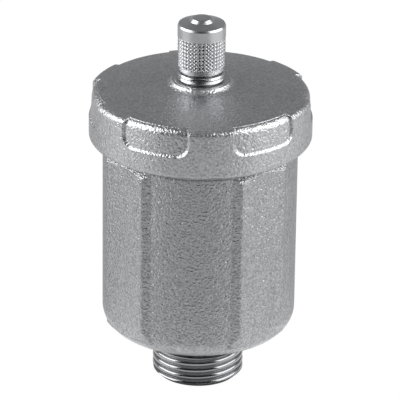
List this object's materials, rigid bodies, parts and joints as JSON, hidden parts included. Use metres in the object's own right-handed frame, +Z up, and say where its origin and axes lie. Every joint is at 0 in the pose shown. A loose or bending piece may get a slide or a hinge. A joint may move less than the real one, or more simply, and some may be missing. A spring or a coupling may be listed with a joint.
{
  "type": "float-type automatic air release valve",
  "caption": "Automatic air release valve: round forged body with a threaded inlet and spanner flats, screwed cover with grip pads, float, lever and seal inside, knurled vent cap on top.",
  "frame": {"origin": "centre of the threaded inlet's lower end face, the lowest point of the valve", "axes": "+Z up along the valve's axis, from the inlet to the vent cap; -Y is the side seen in the picture; +X is the side of the float's hook"},
  "size_m": [0.0404, 0.0404, 0.0697],
  "materials": {
    "blasted_nickel": "sand-blasted nickel plating over forged brass, mid grey with a fine bright grain",
    "polished_nickel": "bright turned nickel plating over brass",
    "stainless": "plain stainless steel, as pressed or drawn",
    "plain_brass": "turned brass, unplated",
    "black_rubber": "matt black moulded rubber",
    "white_plastic": "natural off-white moulded plastic"
  },
  "bodies": {
    "housing": {"body": "blasted_nickel", "cover": "blasted_nickel", "cover_o_ring": "black_rubber", "discharge_nozzle": "polished_nickel", "nozzle_o_ring": "black_rubber", "lever_bracket": "stainless", "bracket_screw_left": "stainless", "bracket_screw_right": "stainless", "lever_pin": "stainless", "lever_pin_clip": "stainless", "stem_spring": "stainless"},
    "float": {"float_shell": "white_plastic", "float_lid": "white_plastic", "hook_pin": "stainless", "hook_pin_clip": "stainless"},
    "lever": {"float_lever": "stainless"},
    "stem": {"obturator_stem": "plain_brass", "obturator_seal": "black_rubber", "stem_pin": "stainless", "spring_washer": "stainless"},
    "gasket": {"vent_cap_gasket": "black_rubber"},
    "cap": {"vent_cap": "polished_nickel"}
  },
  "joints": [
    {"name": "float_slide", "type": "slide", "parent": "housing", "child": "float", "axis": [0, 0, 1], "range_m": [0, 0.003]},
    {"name": "lever_hinge", "type": "hinge", "parent": "housing", "child": "lever", "pos_m": [-0.009, 0, 0.0475], "axis": [0, -1, 0], "range_deg": [0, 9.57]},
    {"name": "stem_slide", "type": "slide", "parent": "housing", "child": "stem", "axis": [0, 0, 1], "range_m": [0, 0.0015], "deforming": ["stem_spring"]},
    {"name": "vent_cap_lift", "type": "slide", "parent": "housing", "child": "gasket", "axis": [0, 0, 1], "range_m": [0, 0.0015]},
    {"name": "vent_cap_turn", "type": "hinge", "parent": "gasket", "child": "cap", "pos_m": [0, 0, 0.0598], "axis": [0, 0, 1], "range_deg": [0, 720.1]}
  ],
  "couplings": [
    {"joint": "lever_hinge", "follows": "float_slide", "rad_per_m": 55.62},
    {"joint": "stem_slide", "follows": "float_slide", "ratio": 0.5},
    {"joint": "vent_cap_turn", "follows": "vent_cap_lift", "rad_per_m": 8377.6}
  ]
}
